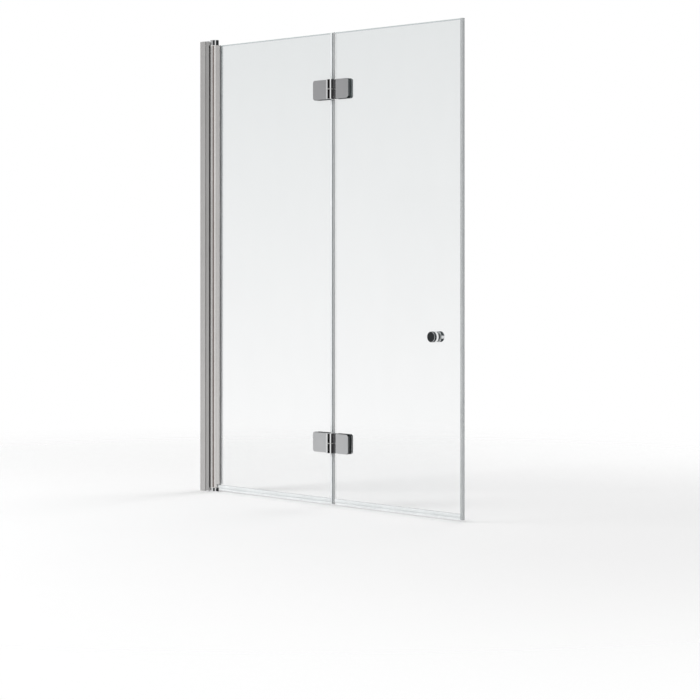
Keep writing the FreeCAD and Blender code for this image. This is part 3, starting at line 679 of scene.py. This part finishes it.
def paleFloor():
    look, centre = floorLook, studio["centre"]
    material, place = startMaterial("paleFloor")
    shaded = tuple(part * look["shade"] for part in look["colour"])
    grain = noise(place, look["grain"], look["detail"])
    feed(material, Base_Color=grain.tint(shaded, look["colour"]), Roughness=look["rough"])
    ends = {0: place, 1: (*centre, 0.0)}
    distance = place.node("ShaderNodeVectorMath", {"operation": "DISTANCE"}, ends, 1)
    away = distance.fade(look["radius"] * look["fadeStart"], look["radius"] * look["fadeEnd"])
    solid = Wire(material.node_tree, shaderOf(material).outputs[0])
    clear = place.node("ShaderNodeBsdfTransparent")
    showSurface(material, place.node("ShaderNodeMixShader", None, {0: away, 1: solid, 2: clear}))
    rim = arc(centre, look["radius"], 0, 360, look["rimSteps"] + 1)[:-1]
    points = np.concatenate([rim, np.zeros((len(rim), 1))], axis=1)
    floor = stagePiece("paleFloor", points, [list(range(len(rim)))], material)
    floor.visible_glossy = False  # metal mirrors the cards and the white studio instead


def cardMaterial(name, lowColour, highColour, isScrim=False):
    material, place = startMaterial(name)
    colour = (*lowColour, 1.0)
    if highColour != lowColour:
        colour = axisOf(place, 2).fade(studio["fadeLow"], studio["fadeHigh"]).tint(lowColour, highColour)
    surface = place.node("ShaderNodeEmission", None, {"Color": colour, "Strength": 1.0})
    if isScrim:  # glows and lets the card behind it through
        clear = place.node("ShaderNodeBsdfTransparent")
        surface = place.node("ShaderNodeAddShader", None, {0: surface, 1: clear})
    showSurface(material, surface)
    return material


def reflectionOnly(piece):  # seen only in the metal, as a studio flag outside the picture
    piece.visible_camera = False
    piece.visible_diffuse = False
    piece.visible_transmission = False
    piece.visible_shadow = False
    return piece


def litPieces(group):
    return [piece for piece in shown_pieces() if any(word in piece.name for word in scrimWords[group])]


def reflectionCard(name, start, end, lowColour, highColour, group, low=studio["low"], high=studio["high"]):
    # a strip of a cylinder: centre + reach (cos a, sin a), from low to high
    s = studio
    isScrim = group != "all"
    reach = s["reach"] - (s["scrimStep"] if isScrim else 0.0)
    edge = arc(s["centre"], reach, start, end, s["cardSteps"])
    rows = np.stack([np.concatenate([edge, np.full((len(edge), 1), z)], axis=1) for z in (low, high)])
    index = np.arange(rows.shape[0] * rows.shape[1]).reshape(rows.shape[:2])
    quads = np.stack([index[0, :-1], index[0, 1:], index[1, 1:], index[1, :-1]], axis=-1)
    material = cardMaterial(name, lowColour, highColour, isScrim)
    card = reflectionOnly(stagePiece(name, rows.reshape(-1, 3), quads.tolist(), material))
    if isScrim:
        lit = bpy.data.collections.new(name + "Lit")
        for piece in litPieces(group):
            lit.objects.link(piece)
        card.light_linking.receiver_collection = lit


# small flag: stands where the knob's flat face mirrors it, centred on the mirrored line of sight
flag = dict(distance=4.0, wide=0.5, tall=1.4, colour=(0.04, 0.042, 0.044))


def knobFlag():
    f, k = flag, knob
    front = k["washer"] + k["base"] + k["groove"] + k["head"]
    face = np.array([k["x"], -front, k["z"]]) * mm
    ahead = face - np.array(view["place"])
    ahead /= np.linalg.norm(ahead)
    ahead[1] = -ahead[1]  # the face looks along -Y
    middle = face + ahead * f["distance"]
    aside = np.array([-ahead[1], ahead[0], 0.0])
    aside *= f["wide"] / 2 / np.linalg.norm(aside)
    rise = np.array([0.0, 0.0, f["tall"] / 2])
    points = [middle - aside - rise, middle + aside - rise, middle + aside + rise, middle - aside + rise]
    material = cardMaterial("knobFlag", f["colour"], f["colour"])
    reflectionOnly(stagePiece("knobFlag", points, [[0, 1, 2, 3]], material))


def studioWorld():  # white where it is seen or mirrored, softer where it only lights
    world = bpy.data.worlds.new("studio")
    scene.world = world
    world.use_nodes = True
    tree = world.node_tree
    soft = tree.nodes["Background"]
    soft.inputs["Color"].default_value = (1.0, 1.0, 1.0, 1.0)
    soft.inputs["Strength"].default_value = studio["ambient"]
    start = Wire(tree, None)
    rays = start.node("ShaderNodeLightPath").socket.node.outputs
    names = ("Is Camera Ray", "Is Glossy Ray", "Is Transmission Ray")
    straight, mirrored, through = (Wire(tree, rays[name]) for name in names)
    shown = (straight + mirrored + through).clamp(0.0, 1.0)
    white = start.node("ShaderNodeBackground", None, {"Color": (1.0, 1.0, 1.0, 1.0), "Strength": 1.0})
    mixed = start.node("ShaderNodeMixShader", None, {0: shown, 1: Wire(tree, soft.outputs[0]), 2: white})
    tree.links.new(mixed.socket, tree.nodes["World Output"].inputs["Surface"])


lamps = {  # place, aim, size and power
    "keyLamp": ((-1.6, -3.4, 2.9), (0.55, 0.0, 0.75), 2.4, 105.0),
    "fillLamp": ((2.6, -3.6, 1.6), (0.6, 0.0, 0.6), 2.0, 26.0),
    "backLamp": ((0.4, 3.4, 2.6), (0.6, 0.0, 0.7), 2.2, 45.0),
}


def studioLamp(name, place, aim, size, power):
    data = bpy.data.lights.new(name, "AREA")
    data.energy = power
    data.size = size
    lamp = bpy.data.objects.new(name, data)
    scene.collection.objects.link(lamp)
    ahead = np.array(aim, float) - np.array(place, float)
    flat = math.hypot(ahead[0], ahead[1])
    lamp.location = place
    # tilted up from straight down, then turned towards the aim
    lamp.rotation_euler = (math.atan2(flat, -ahead[2]), 0.0, math.atan2(-ahead[0], ahead[1]))
    lamp.visible_glossy = False  # the cards and the world shape the reflections


paleFloor()
for cardName, settings in cards.items():
    reflectionCard(cardName, *settings)
knobFlag()
studioWorld()
for lampName, settings in lamps.items():
    studioLamp(lampName, *settings)
print("studio ready")

scene.view_settings.view_transform = "Standard"
